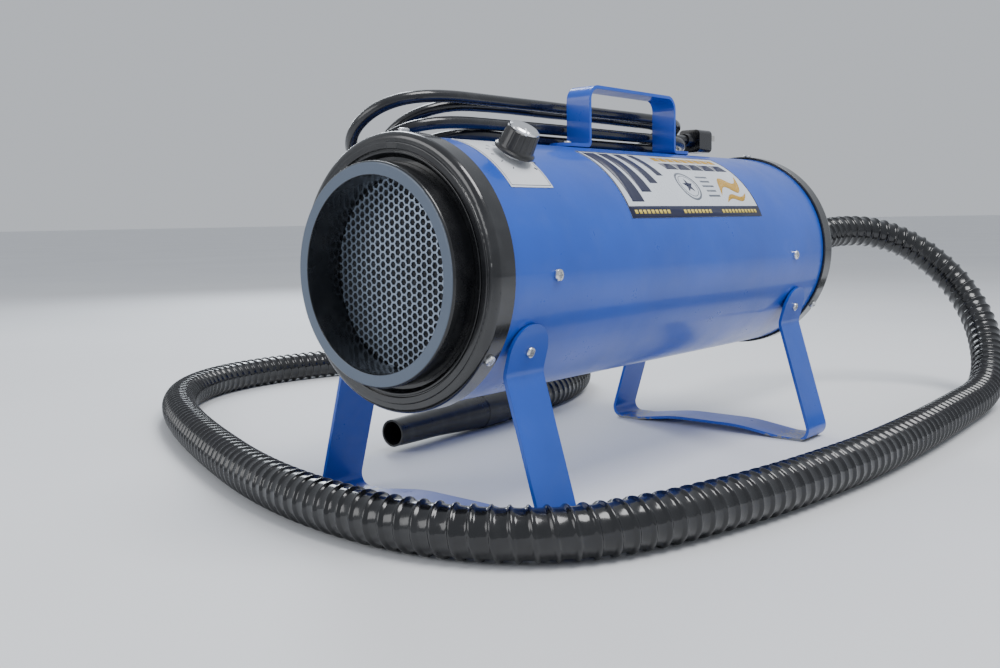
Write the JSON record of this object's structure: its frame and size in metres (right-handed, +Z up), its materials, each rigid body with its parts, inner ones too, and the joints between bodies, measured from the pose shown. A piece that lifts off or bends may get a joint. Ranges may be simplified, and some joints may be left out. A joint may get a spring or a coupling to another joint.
{
  "type": "car dryer blower",
  "caption": "Tube-shaped air blower for drying vehicles, with a round grille intake, strap legs and handle, speed dial, power cord and a long ribbed hose.",
  "frame": {"origin": "on the floor under the middle of the blower without its hose and cord", "axes": "+Y along the tube from the intake grille to the hose outlet, +Z up, +X to the side that carries the label"},
  "size_m": [0.9268, 0.9775, 0.351],
  "materials": {
    "blue_paint": "satin",
    "black_gloss": "gloss",
    "satin_ring": "satin",
    "grille_steel": "satin",
    "filter_foam": "matte",
    "screw_steel": "polished",
    "black_rubber": "matte",
    "white_plate": "satin",
    "label_film": "gloss",
    "knob_black": "satin",
    "knob_bright": "polished",
    "zinc_steel": "satin",
    "dark_plastic": "matte",
    "board_green": "satin",
    "aluminium_parts": "satin",
    "zinc_sheet": "satin",
    "lamination": "satin",
    "brush_brass": "satin",
    "rotor_metal": "satin",
    "hose_vinyl_cuff": "satin",
    "hose_vinyl": "gloss",
    "nozzle_black": "satin",
    "cord_black": "satin",
    "plug_nickel": "polished"
  },
  "bodies": {
    "blower": {"air_hose": "hose_vinyl", "carry_handle": "blue_paint", "control_board": "board_green", "control_parts": "aluminium_parts", "cord_gland": "cord_black", "cord_hank": "cord_black", "cord_tail": "cord_black", "dial_nut": "zinc_steel", "dial_plate": "white_plate", "foam_filter": "filter_foam", "front_baffle": "zinc_sheet", "front_bearings": "zinc_steel", "front_brushes": "brush_brass", "front_fan_shell": "aluminium_parts", "front_gasket": "black_rubber", "front_leg": "blue_paint", "front_leg_screws": "screw_steel", "front_motor_case": "dark_plastic", "front_motor_field": "lamination", "handle_screws": "screw_steel", "hose_cuff": "hose_vinyl_cuff", "hose_nozzle": "nozzle_black", "housing_tube": "blue_paint", "intake_cap": "black_gloss", "intake_cap_screws": "screw_steel", "intake_grille": "grille_steel", "intake_ring": "satin_ring", "leg_spacers": "black_rubber", "motor_mount_screws": "screw_steel", "outlet_spigot": "aluminium_parts", "plug_blades": "plug_nickel", "plug_body": "cord_black", "power_cord": "cord_black", "rear_baffle": "zinc_sheet", "rear_bearings": "zinc_steel", "rear_bracket": "zinc_sheet", "rear_brushes": "brush_brass", "rear_cap": "black_gloss", "rear_cap_screws": "screw_steel", "rear_fan_shell": "aluminium_parts", "rear_gasket": "black_rubber", "rear_leg": "blue_paint", "rear_leg_screws": "screw_steel", "rear_motor_case": "dark_plastic", "rear_motor_field": "lamination", "side_label": "label_film", "speed_control": "dark_plastic"},
    "dial": {"dial_knob": "knob_black", "dial_shaft": "zinc_steel", "knob_cap": "knob_bright"},
    "front_fan": {"front_rotor": "rotor_metal"},
    "rear_fan": {"rear_rotor": "rotor_metal"}
  },
  "joints": [
    {"name": "dial_turn", "type": "hinge", "parent": "blower", "child": "dial", "pos_m": [0.05534, -0.2175, 0.27901], "axis": [0.5446, 0, 0.8387], "range_deg": [-280, 0]},
    {"name": "front_fan_spin", "type": "hinge", "parent": "blower", "child": "front_fan", "pos_m": [0, -0.1025, 0.1938], "axis": [0, 1, 0], "continuous": true},
    {"name": "rear_fan_spin", "type": "hinge", "parent": "blower", "child": "rear_fan", "pos_m": [0, 0.1015, 0.1938], "axis": [0, 1, 0], "continuous": true}
  ]
}
